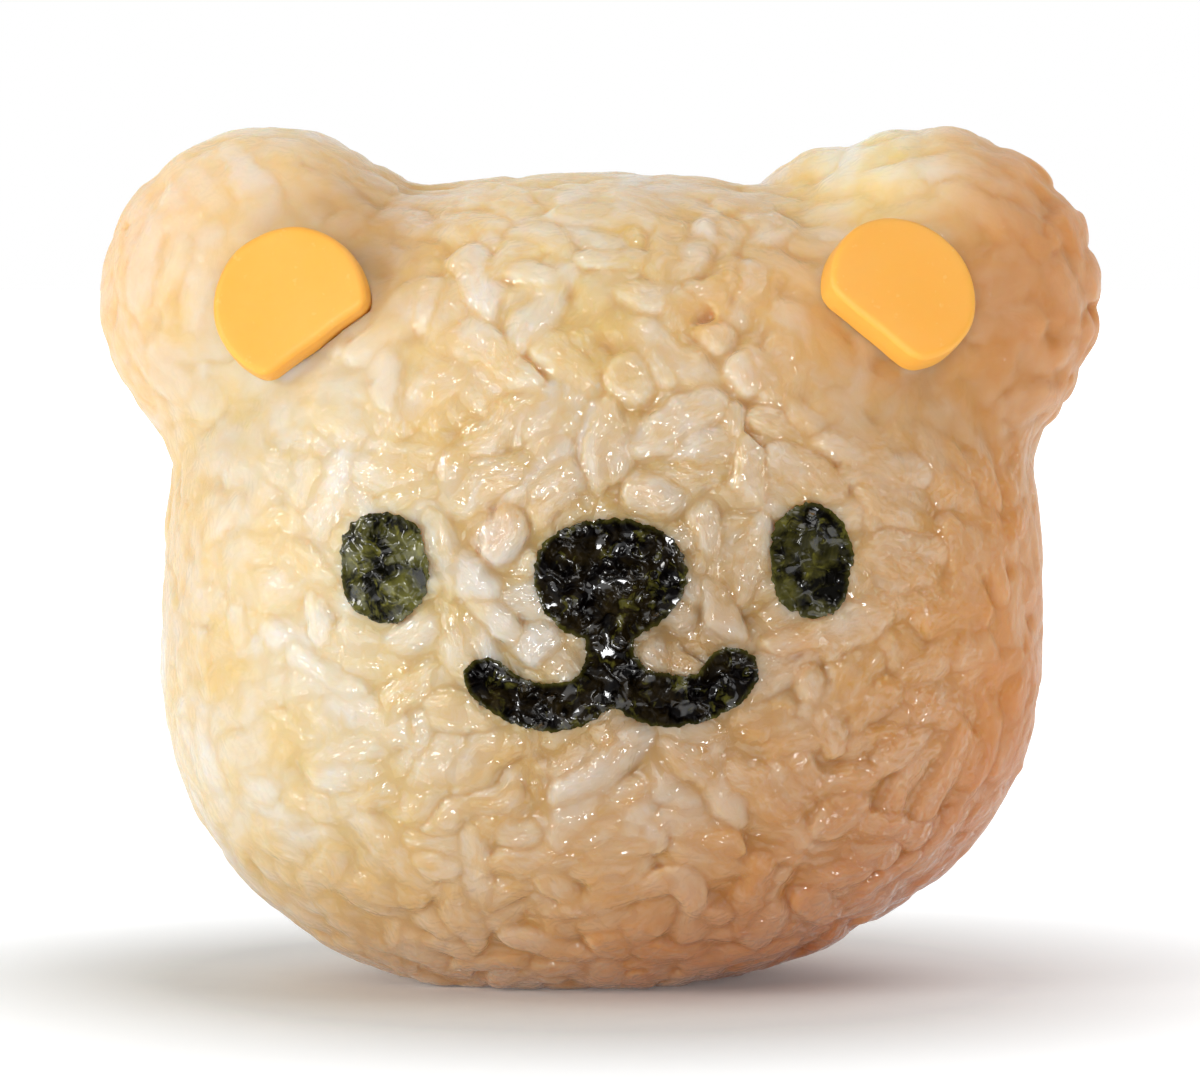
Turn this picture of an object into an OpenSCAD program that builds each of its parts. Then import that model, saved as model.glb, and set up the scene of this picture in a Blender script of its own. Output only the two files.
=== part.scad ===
// Moulded rice ball in the shape of a bear's head, standing on its chin.
// A pressed head and two ears of cooked short-grain rice carry two disc slices
// cut straight along one side, and three punched pieces of roasted seaweed.
// Frame: +Z is up, the face looks towards -Y, and +X is on the right of someone
// who looks at the face. The origin is the middle of the footprint, on the
// surface that the rice ball stands on.

/* [Head] */
// Width of the head at its widest level, the cheeks
head_w = 62.8; // [54:0.2:68]
// Depth of the head from the face to the back
head_d = 46; // [40:0.5:52]
// Height of the head above the surface it stands on
head_h = 57.4; // [52:0.2:62]
// Height of the widest level, as a share of the head's height
cheek_level = 0.39; // [0.36:0.01:0.46]
// How far the pressed-flat chin cuts into the round form
chin_cut = 1.5; // [1:0.1:3]
// Fullness of the crown (2 is round, more is squarer)
crown_full = 2.7; // [2.2:0.1:3]
// Fullness of the jaw (2 is round, more is squarer)
jaw_full = 2.05; // [2:0.05:2.6]
// Fullness of each level section (2 is round, more is squarer)
level_full = 2.3; // [2:0.1:2.8]
// How far the jaw leans towards -X at the chin
jaw_lean = 2.2; // [0:0.1:3]
// How far the head stands off the middle of the ears, towards +X
head_x = 0.3; // [-1:0.1:1]

/* [Ears] */
// Radius of each ear ball
ear_r = 12.1; // [10:0.1:13]
// Distance of each ear's centre from the middle plane
ear_x = 23.3; // [21:0.1:26]
// Height of the ears' centres
ear_z = 48.6; // [46:0.1:52]

/* [Inner ear slices] */
// Thickness of each slice
slice_t = 2.4; // [1.6:0.1:3]
// Radius of each slice's round edge
slice_r = 5.4; // [5:0.1:6.2]
// Distance from the left slice's centre to its straight cut
slice_cut_left = 3.4; // [2:0.1:4]
// Distance from the right slice's centre to its straight cut
slice_cut_right = 3.9; // [2:0.1:4.4]
// Lean of the left slice from the face plane, in degrees
slice_lean_left = 18; // [14:1:30]
// Lean of the right slice from the face plane, in degrees
slice_lean_right = 32; // [14:1:34]

/* [Seaweed] */
// Thickness of the damp, wrinkled seaweed
nori_t = 0.4; // [0.3:0.05:0.6]
// Width of each eye
eye_w = 5.8; // [5:0.1:7]
// Height of each eye
eye_h = 7.7; // [6.5:0.1:8.5]
// Width of the nose
nose_w = 10.4; // [9:0.1:11.5]
// Height of the nose
nose_h = 8.1; // [7:0.1:9]
// Width of the mouth's stroke
mouth_w = 3.2; // [2.4:0.1:3.6]
// Radius of each half of the smile, at the middle of the stroke
mouth_r = 6.25; // [5.6:0.05:7]

/* [Hidden] */

sides = 48;                            // points round each level section
levels = 22;                           // sections from the chin to the crown
head_y = nori_t / 2;                   // set back so that the whole part is centred
cheek_z = head_h * cheek_level;        // height of the widest level
crown_up = head_h - cheek_z;           // from there up to the crown
jaw_down = cheek_z + chin_cut;         // from there down to the uncut jaw
start = -asin(pow(cheek_z / jaw_down, jaw_full / 2)); // where the flat chin cuts

rice = [0.93, 0.82, 0.63];
rice_ear = [0.94, 0.84, 0.67];
cheese = [0.98, 0.74, 0.36];
nori = [0.10, 0.13, 0.08];

// Signed power, for rounded-square sections
function spow(v, p) = sign(v) * pow(abs(v), p);

// The head's level at angle f: its height and its share of the full section
function rise(f) = f >= 0
    ? cheek_z + crown_up * pow(sin(f), 2 / crown_full)
    : cheek_z - jaw_down * pow(sin(-f), 2 / jaw_full);
function share(f) = pow(max(cos(f), 0), 2 / (f >= 0 ? crown_full : jaw_full));
function lean(z) = z < cheek_z ? -jaw_lean * pow((cheek_z - z) / cheek_z, 2) : 0;

// One point of the head's surface, grown outwards by g
function head_point(f, a, g) = let (s = share(f), z = rise(f)) [
    head_x + lean(z) + (head_w / 2 + g) * s * spow(cos(a), 2 / level_full),
    head_y + (head_d / 2 + g) * s * spow(sin(a), 2 / level_full),
    z
];

// The whole head, as levels from the flat chin up to the crown
module head_form(g = 0) {
    points = [
        for (i = [0 : levels - 1])
            for (j = [0 : sides - 1])
                head_point(start + (90 - start) * i / levels, 360 * j / sides, g),
        [head_x, head_y, head_h + g]
    ];
    bands = [
        for (i = [0 : levels - 2])
            for (j = [0 : sides - 1])
                let (a = i * sides + j, b = i * sides + (j + 1) % sides)
                    each [[a, a + sides, b + sides], [a, b + sides, b]]
    ];
    cap = [
        for (j = [0 : sides - 1])
            let (k = (levels - 1) * sides)
                [k + j, levels * sides, k + (j + 1) % sides]
    ];
    chin = [[for (j = [0 : sides - 1]) j]];
    polyhedron(points, concat(bands, cap, chin), convexity = 4);
}

// A disc slice with one straight cut, lying in its own plane, back face at z = 0
module slice_form(cut) {
    linear_extrude(slice_t)
        intersection() {
            circle(slice_r, $fn = 96);
            translate([-slice_r, -cut]) square([2 * slice_r, cut + slice_r]);
        }
}

// Puts a slice where it leans across an ear and the head
module seat_left() {
    translate([-20.9, -13.6, 48]) rotate([0, -35.8, 0])
        rotate([90 - slice_lean_left, 0, 0]) children();
}
module seat_right() {
    translate([20.3, -13.6, 48.6]) rotate([0, 39, 0])
        rotate([90 - slice_lean_right, 0, 0]) children();
}

// Rounded-square oval outline in the face plane
function oval(w, h, e) = [
    for (a = [0 : 15 : 345]) [w / 2 * spow(cos(a), 2 / e), h / 2 * spow(sin(a), 2 / e)]
];

// Stroke along an arc, open upwards, with round ends
module smile_arc(half) {
    steps = [-half : half / 6 : half];
    polygon(concat(
        [for (a = steps) (mouth_r + mouth_w / 2) * [sin(a), -cos(a)]],
        [for (a = steps) (mouth_r - mouth_w / 2) * [sin(-a), -cos(a)]]
    ));
    for (a = [-half, half])
        translate(mouth_r * [sin(a), -cos(a)]) circle(mouth_w / 2, $fn = 20);
}

// The seaweed that follows the head under an outline in the face plane
module on_face() {
    difference() {
        intersection() {
            head_form(nori_t);
            translate([0, -4, 0]) rotate([90, 0, 0]) linear_extrude(30) children();
        }
        head_form();
    }
}

module rice_head() {
    color(rice)
        difference() {
            head_form();
            seat_left() slice_form(slice_cut_left);
            seat_right() slice_form(slice_cut_right);
        }
}

module rice_ear_left() {
    color(rice_ear)
        difference() {
            translate([-ear_x, head_y, ear_z]) sphere(ear_r, $fn = 72);
            head_form();
            seat_left() slice_form(slice_cut_left);
        }
}

module rice_ear_right() {
    color(rice_ear)
        difference() {
            translate([ear_x, head_y, ear_z]) sphere(ear_r, $fn = 72);
            head_form();
            seat_right() slice_form(slice_cut_right);
        }
}

module inner_ear_slice_left() {
    color(cheese) seat_left() slice_form(slice_cut_left);
}

module inner_ear_slice_right() {
    color(cheese) seat_right() slice_form(slice_cut_right);
}

module nori_eye_left() {
    color(nori) on_face() translate([-14.5, 30.5]) polygon(oval(eye_w, eye_h, 2.5));
}

module nori_eye_right() {
    color(nori) on_face() translate([14.5, 31]) polygon(oval(eye_w, eye_h, 2.5));
}

module nori_nose_and_mouth() {
    color(nori) on_face() union() {
        translate([0.8, 29.9]) polygon(oval(nose_w, nose_h, 2.2));
        translate([-1, 22.2]) square([3.4, 6]);
        translate([-3.3, 27.4]) smile_arc(43);
        translate([5, 27.7]) smile_arc(43);
    }
}

rice_head();
rice_ear_left();
rice_ear_right();
inner_ear_slice_left();
inner_ear_slice_right();
nori_eye_left();
nori_eye_right();
nori_nose_and_mouth();
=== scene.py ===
import math
import time

import bpy
import numpy as np
import openvdb
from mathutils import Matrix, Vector
from mathutils.bvhtree import BVHTree
from mathutils.geometry import delaunay_2d_cdt


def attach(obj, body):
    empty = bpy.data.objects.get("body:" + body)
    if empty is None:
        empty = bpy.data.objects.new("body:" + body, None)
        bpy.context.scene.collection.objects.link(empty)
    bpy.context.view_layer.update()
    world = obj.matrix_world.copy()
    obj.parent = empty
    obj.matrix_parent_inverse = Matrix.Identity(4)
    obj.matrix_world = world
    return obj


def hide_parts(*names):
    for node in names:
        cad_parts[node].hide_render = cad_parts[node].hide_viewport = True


T0 = time.perf_counter()
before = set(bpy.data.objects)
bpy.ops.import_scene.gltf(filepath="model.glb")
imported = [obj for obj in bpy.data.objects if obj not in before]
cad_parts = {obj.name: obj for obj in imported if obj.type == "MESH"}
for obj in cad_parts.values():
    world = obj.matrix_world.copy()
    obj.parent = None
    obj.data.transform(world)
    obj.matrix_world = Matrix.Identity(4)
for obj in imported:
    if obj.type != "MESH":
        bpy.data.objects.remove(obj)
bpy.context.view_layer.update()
MM = 0.001


def say(*words):
    print("[%6.1f s]" % (time.perf_counter() - T0), *words, flush=True)


# ---------------------------------------------------------------- the view
# Everything below is in millimetres until a mesh is made.
VIEW_TARGET = np.array([0.1, 0.0, 31.1])
VIEW_DIST = 450.0
VIEW_EL = math.radians(3.0)
PX_MM = 14.0
FWD = np.array([0.0, math.cos(VIEW_EL), -math.sin(VIEW_EL)])
UP = np.array([0.0, math.sin(VIEW_EL), math.cos(VIEW_EL)])
RIGHT = np.array([1.0, 0.0, 0.0])
EYE = VIEW_TARGET - FWD * VIEW_DIST


def sight(px, py):
    """Unit directions from the camera through points of the 1200 x 1087 picture."""
    px, py = np.broadcast_arrays(np.asarray(px, float), np.asarray(py, float))
    d = (FWD * VIEW_DIST + (px[..., None] - 600) / PX_MM * RIGHT
         + (543.5 - py[..., None]) / PX_MM * UP)
    return d / np.linalg.norm(d, axis=-1, keepdims=True)


# ------------------------------------------------------- the moulded form
HEAD_A, HEAD_B, HEAD_H = 31.4, 23.0, 57.4
HEAD_X, HEAD_Y = 0.3, 0.2
CHEEK_Z = HEAD_H * 0.39
CROWN, JAW, LEVEL = 2.7, 2.05, 2.3
UP_H, DOWN_H = HEAD_H - CHEEK_Z, CHEEK_Z + 1.5
EAR_R = 12.1
EARS = {"left": np.array([-23.3, 0.2, 48.6]), "right": np.array([23.3, 0.2, 48.6])}
LUMP, LUMP_R = np.array([16.1, 0.2, 54.7]), 4.4


def head_dist_at(x, y, z):
    """About the distance outside the head's moulded form."""
    t = z - CHEEK_Z
    low = np.clip(-t / CHEEK_Z, 0, 1.2)
    x = x - HEAD_X + 2.2 * low ** 2
    y = y - HEAD_Y
    level = np.abs(x / HEAD_A) ** LEVEL + np.abs(y / HEAD_B) ** LEVEL
    n = np.where(t >= 0, CROWN, JAW)
    v = np.abs(t) / np.where(t >= 0, UP_H, DOWN_H)
    f = (level ** (n / LEVEL) + v ** n) ** (1 / n)
    r = np.sqrt(x * x + y * y + t * t)
    return r * (1 - 1 / np.maximum(f, 1e-4)) * 0.93


def head_dist(p):
    return head_dist_at(p[..., 0], p[..., 1], p[..., 2])


def smin(a, b, k):
    h = np.maximum(k - np.abs(a - b), 0) / k
    return np.minimum(a, b) - h * h * k / 4


def smax(a, b, k):
    return -smin(-a, -b, k)


def mould_dist(p, k=3.6):
    """About the distance outside the whole moulded form, with the ears blended in."""
    d = head_dist(p)
    for c in EARS.values():
        d = smin(d, np.linalg.norm(p - c, axis=-1) - EAR_R, k)
    return smin(d, np.linalg.norm(p - LUMP, axis=-1) - LUMP_R, 1.2)


def first_hit(f, start, dirs, far, step=0.7, slow=0.9):
    """Sphere tracing from outside."""
    t = np.zeros(dirs.shape[:-1])
    for _ in range(90):
        d = f(start + dirs * t[..., None])
        t = np.minimum(t + np.maximum(d, 0) * slow, far)
        if not (d > 0.003).any():
            break
    return t


def gradient(f, p, e=0.05):
    g = np.stack([f(p + np.eye(3)[i] * e) - f(p - np.eye(3)[i] * e) for i in range(3)], -1)
    return g / np.maximum(np.linalg.norm(g, axis=-1, keepdims=True), 1e-9)


def on_form(px, py):
    """The point of the moulded form seen at a point of the picture, and its normal."""
    d = sight(px, py)
    start = EYE + d * 400
    t = first_hit(mould_dist, start, d, 90)
    p = start + d * t[..., None]
    return p, gradient(mould_dist, p)


# --------------------------------------------------- the two cheese slices
def slice_frame(side):
    """Centre of the back face, and the slice's axes: along the cut, away from it, outwards."""
    c, b, lean = {"left": ((-20.9, -13.6, 48.0), -35.8, 18), "right": ((20.3, -13.6, 48.6), 39, 32)}[side]
    b, a = math.radians(b), math.radians(90 - lean)
    turn = np.array([[math.cos(b), 0, math.sin(b)], [0, 1, 0], [-math.sin(b), 0, math.cos(b)]])
    axes = [np.array(v) for v in ((1, 0, 0), (0, math.cos(a), math.sin(a)), (0, -math.sin(a), math.cos(a)))]
    return np.array(c), *[turn @ v for v in axes]


SLICE_R, SLICE_T = 5.4, 2.4
SLICE_CUT = {"left": 3.4, "right": 3.9}
SLICES = {s: slice_frame(s) for s in ("left", "right")}


def slice_outside(side, u, v):
    """Distance outside a slice's outline in its own plane."""
    return np.maximum(np.hypot(u, v) - SLICE_R, -v - SLICE_CUT[side])


# ------------------------------------------------------------- the grains
# Grains that stand out in the picture: both ends, width, and how white each is
SEEN = [
    (467, 246, 486, 318, 50, .7), (430, 283, 423, 323, 28, .5), (448, 329, 534, 382, 46, .6), (400, 417, 464, 363, 45, .4),
    (384, 358, 384, 409, 27, .5), (534, 331, 598, 393, 38, .3), (462, 457, 534, 396, 46, .2), (531, 436, 563, 401, 34, .4),
    (612, 404, 596, 484, 34, .5), (622, 452, 720, 398, 43, .8), (735, 404, 735, 444, 30, .4), (744, 362, 748, 382, 40, .7),
    (715, 322, 717, 346, 34, .6), (692, 291, 735, 291, 32, .3), (620, 358, 636, 398, 36, .4), (652, 347, 673, 382, 36, .3),
    (614, 286, 668, 294, 40, .3), (572, 262, 663, 251, 29, .3), (556, 211, 622, 213, 32, .2), (510, 267, 558, 283, 28, .4),
    (518, 227, 574, 243, 36, .2), (438, 508, 531, 460, 48, .2), (534, 516, 574, 468, 45, .5), (446, 455, 462, 486, 30, .3),
    (350, 356, 402, 323, 30, .5), (790, 405, 818, 428, 24, .4), (827, 397, 874, 430, 34, .4), (824, 445, 928, 477, 45, .8),
    (771, 456, 841, 498, 38, .7), (745, 444, 754, 503, 32, .6), (630, 487, 678, 499, 35, .6), (762, 517, 740, 596, 42, .8),
    (706, 582, 740, 641, 34, .7), (639, 647, 667, 668, 32, .9), (774, 646, 897, 613, 38, .6), (802, 675, 821, 697, 26, .5),
    (841, 711, 883, 655, 45, .3), (743, 711, 799, 725, 34, .4), (818, 703, 838, 754, 28, .3), (920, 428, 946, 480, 30, .3),
    (860, 494, 925, 526, 40, .3), (863, 554, 936, 577, 44, .2), (704, 509, 717, 558, 34, .5), (289, 652, 357, 689, 33, .6),
    (286, 552, 332, 572, 30, .5), (307, 601, 325, 638, 27, .6), (341, 628, 378, 652, 36, .4), (385, 645, 431, 627, 29, .4),
    (433, 670, 380, 716, 36, .2), (307, 764, 390, 730, 40, .2), (431, 705, 491, 725, 40, .5), (442, 778, 518, 741, 45, .5),
    (426, 516, 456, 594, 27, .3), (514, 513, 491, 557, 37, .9), (452, 567, 493, 599, 40, .7), (353, 466, 422, 477, 38, .3),
    (206, 537, 238, 498, 28, .5), (181, 480, 224, 450, 30, .4), (199, 625, 204, 670, 27, .7), (236, 602, 240, 645, 27, .6),
    (229, 595, 298, 581, 44, .2), (224, 558, 279, 544, 34, .3), (238, 712, 284, 679, 40, .3), (217, 764, 275, 730, 42, .2),
    (563, 803, 645, 728, 47, 1.), (630, 795, 659, 853, 42, .9), (588, 859, 661, 842, 30, .3), (428, 825, 513, 797, 31, .4),
    (451, 792, 521, 733, 38, .4), (420, 790, 456, 738, 42, .3), (431, 713, 482, 713, 38, .5), (496, 831, 541, 837, 34, .4),
    (737, 768, 791, 820, 50, .2), (751, 733, 794, 702, 34, .3), (796, 757, 819, 789, 26, .3), (813, 831, 868, 806, 45, .3),
    (802, 898, 833, 921, 36, .2), (591, 912, 673, 879, 34, .2), (676, 842, 751, 879, 45, .2), (664, 744, 718, 786, 45, .3),
    (690, 972, 798, 945, 32, .3), (527, 968, 586, 971, 30, .4), (452, 966, 518, 966, 30, .3), (420, 944, 476, 956, 32, .4),
    (423, 873, 459, 862, 34, .6), (538, 865, 566, 901, 34, .2), (556, 628, 520, 652, 40, .8), (476, 600, 520, 640, 36, .6),
    (668, 560, 700, 600, 36, .4), (240, 240, 268, 190, 34, .3), (180, 240, 160, 300, 36, .3), (300, 170, 352, 192, 36, .3),
    (214, 420, 262, 452, 36, .4), (148, 352, 190, 396, 36, .3), (1000, 200, 1040, 240, 34, .3), (990, 300, 1040, 270, 36, .3),
    (860, 180, 920, 172, 36, .3), (960, 372, 1010, 352, 36, .2), (948, 520, 980, 590, 38, .2), (905, 680, 960, 640, 38, .2),
    (880, 770, 930, 730, 40, .3), (250, 830, 300, 860, 40, .3), (330, 880, 395, 900, 38, .3), (600, 936, 622, 958, 46, .1),
]


# Small open hollows between grains: place, radius and depth in millimetres
GAPS = [(704, 315, 1.1, -0.55), (499, 516, 0.5, 0.5), (484, 549, 0.5, 0.4), (800, 655, 0.5, 0.4)]


def unit(v):
    return v / np.maximum(np.linalg.norm(v, axis=-1, keepdims=True), 1e-9)


class Grains:
    """Centre, long axis, outward axis, half length, half width, half thickness, bend, taper, whiteness."""

    def __init__(self):
        self.c, self.t, self.w, self.a, self.b, self.h = [], [], [], [], [], []
        self.bend, self.taper, self.white, self.fixed, self.blunt = [], [], [], [], []

    def add(self, c, t, w, a, b, h, bend, taper, white, fixed, blunt):
        for name, v in zip(("c", "t", "w", "a", "b", "h", "bend", "taper", "white", "fixed", "blunt"),
                           (c, t, w, a, b, h, bend, taper, white, fixed, blunt)):
            getattr(self, name).append(v)

    def freeze(self):
        for name in vars(self):
            setattr(self, name, np.array(getattr(self, name), float))
        return self

    def only(self, keep):
        g = Grains()
        for name in vars(self):
            setattr(g, name, getattr(self, name)[keep])
        return g


def segments_apart(p1, d1, l1, p2, d2, l2):
    """Closest points of pairs of centre lines, each p + s d with |s| <= l."""
    r = p1 - p2
    b = (d1 * d2).sum(1)
    c = (d1 * r).sum(1)
    f = (d2 * r).sum(1)
    den = np.maximum(1 - b * b, 1e-4)
    s = np.clip((b * f - c) / den, -l1, l1)
    t = np.clip(b * s + f, -l2, l2)
    s = np.clip(b * t - c, -l1, l1)
    return s, t


def to_form(p, f, steps=3):
    """Moves points onto the surface f = 0."""
    for _ in range(steps):
        n = gradient(f, p)
        p = p - n * f(p)[:, None]
    return p, gradient(f, p)


def lay_grains(seed, count, seen, region, f, spread=0.80, rounds=70):
    """Spreads count grains over the surface f = 0 where region(p) is true, round the fixed ones."""
    rng = np.random.default_rng(seed)
    g = Grains()
    for (x0, y0, x1, y1, w, white) in seen:
        ends, normals = on_form([x0, x1], [y0, y1])
        mid, nrm = on_form((x0 + x1) / 2, (y0 + y1) / 2)
        if not region(mid[None])[0]:
            continue
        axis = ends[1] - ends[0]
        length = np.linalg.norm(axis)
        axis = unit(axis - nrm * (axis @ nrm))
        k = (VIEW_DIST + mid[1]) / VIEW_DIST / PX_MM
        b = w * k / 2
        a = max(length / 2 + b * 0.25, b * 1.15)
        g.add(mid, axis, nrm, a, b, b * 0.86, rng.uniform(-0.02, 0.02), rng.uniform(-0.12, 0.12), white, 1.0,
              rng.uniform(1.9, 2.5))
    n_fixed = len(g.c)
    lo, hi = np.array([-36.0, -24.0, -1.0]), np.array([36.0, 24.0, 62.0])
    points = []
    while len(points) < count:
        q = rng.uniform(lo, hi, (12000, 3))
        d = f(q)
        q = q[np.abs(d) < 0.8]
        q, n = to_form(q, f)
        q = q[region(q)]
        points += list(q)
    points = np.array(points)[:count]
    _, normals = to_form(points, f, 1)
    for p, n in zip(points, normals):
        t = unit(np.cross(n, rng.normal(size=3)))
        a = float(np.clip(rng.normal(3.55, 0.50), 2.3, 4.7))
        b = float(np.clip(rng.normal(1.40, 0.17), 1.05, 1.8))
        if rng.random() < 0.14:
            a = max(a * rng.uniform(0.55, 0.75), b * 1.05)  # a broken grain
        g.add(p, t, n, a, b, b * rng.uniform(0.78, 0.92), rng.normal(0, 0.022), rng.normal(0, 0.10),
              float(np.clip(rng.beta(1.0, 1.9), 0, 1)), 0.0, rng.uniform(1.9, 2.8))
    g.freeze()
    free = g.fixed < 0.5
    for it in range(rounds):
        if it % 8 == 0:
            gap = g.c[:, None] - g.c[None]
            near = (gap ** 2).sum(2) < 11.0 ** 2
            i, j = np.nonzero(np.triu(near, 1))
        li, lj = g.a[i] - g.b[i] * 0.8, g.a[j] - g.b[j] * 0.8
        s, t = segments_apart(g.c[i], g.t[i], li, g.c[j], g.t[j], lj)
        pi, pj = g.c[i] + g.t[i] * s[:, None], g.c[j] + g.t[j] * t[:, None]
        v = pi - pj
        dist = np.linalg.norm(v, axis=1)
        need = (g.b[i] + g.b[j]) * spread
        push = np.clip(need - dist, 0, None) * 0.38
        v = v / np.maximum(dist, 1e-3)[:, None]
        v += rng.normal(0, 0.02, v.shape)
        hit = push > 0
        ii, jj, pp, vv, ss, tt = i[hit], j[hit], push[hit], v[hit], s[hit], t[hit]
        shift = np.zeros_like(g.c)
        turn = np.zeros_like(g.c)
        for k, sign, arm in ((ii, 1.0, ss), (jj, -1.0, tt)):
            move = vv * (sign * pp)[:, None]
            np.add.at(shift, k, move)
            np.add.at(turn, k, move * (arm / (g.a[k] ** 2 * 0.35))[:, None])
        size = np.linalg.norm(shift, axis=1, keepdims=True)
        shift *= np.minimum(1, 0.9 / np.maximum(size, 1e-6))
        g.c[free] += shift[free]
        axis = g.t + turn * 0.8
        c, n = to_form(g.c[free], f, 1)
        g.c[free], g.w[free] = c, n
        axis = axis - g.w * (axis * g.w).sum(1, keepdims=True)
        g.t[free] = unit(axis)[free]
    return g


# The whitest grains seen in the picture lie on top of the others
PROUD_WHITE = 0.5


def outer_rim(x, z):
    """1 round the outside of the right ear, where grains stand out of the outline."""
    return np.clip((x - 28.5) / 4, 0, 1) * np.clip((z - 36) / 4, 0, 1)


def settle(g, seed, deep=0.0, tilt=8.0, ends=0.06):
    """Sinks each grain under the mould's surface, and tips some of them."""
    rng = np.random.default_rng(seed)
    n = len(g.c)
    r = rng.random(n)
    # most lie at the surface and are pressed flat, and the rest show between them
    drop = g.h - 0.38 + np.where(r < 0.62, 0.30 * r / 0.62, 0.34 + 0.60 * (r - 0.62) / 0.38) + deep
    # round the rim of the right ear they stand out a little
    drop -= 0.20 * outer_rim(g.c[:, 0], g.c[:, 2])
    fixed = g.fixed > 0.5
    drop[fixed] = g.h[fixed] - 0.42 - 0.15 * rng.random(fixed.sum()) - 0.06 * (g.white[fixed] >= PROUD_WHITE)
    tip = np.radians(rng.normal(0, tilt, n))
    upright = (rng.random(n) < ends) & ~fixed
    tip[upright] = np.radians(rng.uniform(35, 75, upright.sum()))
    tip[fixed] *= 0.4
    drop[upright] = (g.a * np.abs(np.sin(tip)) + g.h * np.abs(np.cos(tip)))[upright] * 0.9 - 0.3
    roll = np.radians(rng.normal(0, 14, n))
    side = np.cross(g.w, g.t)
    t = g.t * np.cos(tip)[:, None] + g.w * np.sin(tip)[:, None]
    w = g.w * np.cos(tip)[:, None] - g.t * np.sin(tip)[:, None]
    w = w * np.cos(roll)[:, None] + side * np.sin(roll)[:, None]
    g.c = g.c - g.w * drop[:, None]
    g.t, g.w = unit(t), unit(w)
    g.s = np.cross(g.w, g.t)
    g.lump = rng.uniform(0.0, 0.07, n)
    g.phase = rng.uniform(0, 6.28, n)
    return g


def grain_dist(g, k, x, y, z):
    """Distance outside grain k, near its surface, and the place along and across it."""
    x, y, z = x - g.c[k, 0], y - g.c[k, 1], z - g.c[k, 2]
    a, b, h, p = g.a[k], g.b[k], g.h[k], g.blunt[k]
    t, s, w = g.t[k], g.s[k], g.w[k]
    u = x * t[0] + y * t[1] + z * t[2]
    v = x * s[0] + y * s[1] + z * s[2]
    w = x * w[0] + y * w[1] + z * w[2]
    v = v - g.bend[k] * (u * u - a * a * 0.33)
    r = 1 + g.taper[k] * np.clip(u / a, -1.2, 1.2) + g.lump[k] * np.sin(u * (4.2 / b) + g.phase[k])
    su = np.abs(u) / a
    vv, ww = v / (b * r), w / (h * r)
    rv = np.sqrt(vv * vv + ww * ww) + 1e-4
    f = (su ** p + rv ** p) ** (1 / p) + 1e-4
    gu = (su / f) ** (p - 1) / a
    gr = (rv / f) ** (p - 1) * np.sqrt((vv / b) ** 2 + (ww / h) ** 2) / rv
    return (f - 1) / np.sqrt(gu * gu + gr * gr + 1e-8), u, v, w


def reach(g, k, pad):
    return np.sqrt((g.a[k] * g.t[k]) ** 2 + (g.b[k] * g.s[k]) ** 2 + (g.h[k] * g.w[k]) ** 2) + pad


def wave_noise(x, y, z, scale, seed, waves=6):
    """Cheap smooth noise from a few sine waves, about -1 to 1."""
    rng = np.random.default_rng(seed)
    out = 0
    for _ in range(waves):
        k = rng.normal(size=3)
        k *= rng.uniform(0.7, 1.5) / np.linalg.norm(k) / scale * 2 * math.pi
        out = out + np.sin(x * k[0] + y * k[1] + z * k[2] + rng.uniform(0, 6.28))
    return out / 2.6


def smooth_noise(p, scale, seed):
    return wave_noise(p[..., 0], p[..., 1], p[..., 2], scale, seed)


def grid_noise(gx, gy, gz, scale, seed, waves=6):
    """The same noise at every point of a grid, as one product of its waves."""
    rng = np.random.default_rng(seed)
    left, right = [], []
    for _ in range(waves):
        k = rng.normal(size=3)
        k *= rng.uniform(0.7, 1.5) / np.linalg.norm(k) / scale * 2 * math.pi
        a = (gx * k[0] + rng.uniform(0, 6.28))[:, None] + (gy * k[1])[None]
        left += [np.sin(a).ravel(), np.cos(a).ravel()]
        right += [np.cos(gz * k[2]), np.sin(gz * k[2])]
    out = np.stack(left, 1).astype(np.float32) @ np.stack(right, 0).astype(np.float32)
    return out.reshape(len(gx), len(gy), len(gz)) / np.float32(2.6)


# No cooked grain is a neat oval: each is bent by its neighbours, so all the places are stirred a little
STIR = [(0, 3.8, 31, 0.26), (1, 3.8, 32, 0.16), (2, 3.8, 33, 0.26), (0, 1.9, 34, 0.05), (2, 1.9, 35, 0.05)]


def stirred(co):
    out = co.copy()
    for axis, scale, seed, size in STIR:
        out[:, axis] += size * smooth_noise(co, scale, seed)
    return out


# ------------------------------------------------ the rice mass as a volume
BOX_LO, BOX_HI = np.array([-36.8, -24.8, -1.4]), np.array([36.8, 24.8, 62.4])
CELL = 0.20


def largest_part(co, quads):
    """Drops the closed bubbles between grains, which nothing can see."""
    label = np.arange(len(co))
    e = np.concatenate([quads[:, [0, 1]], quads[:, [1, 2]], quads[:, [2, 3]], quads[:, [3, 0]]]).astype(np.int64)
    while True:
        low = np.minimum(label[e[:, 0]], label[e[:, 1]])
        new = label.copy()
        np.minimum.at(new, label[e[:, 0]], low)
        np.minimum.at(new, label[e[:, 1]], low)
        new = new[new]
        new = new[new]
        if (new == label).all():
            break
        label = new
    names, counts = np.unique(label, return_counts=True)
    keep = label == names[counts.argmax()]
    index = np.cumsum(keep) - 1
    return co[keep], index[quads[keep[quads[:, 0]]]], len(names) - 1


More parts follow.
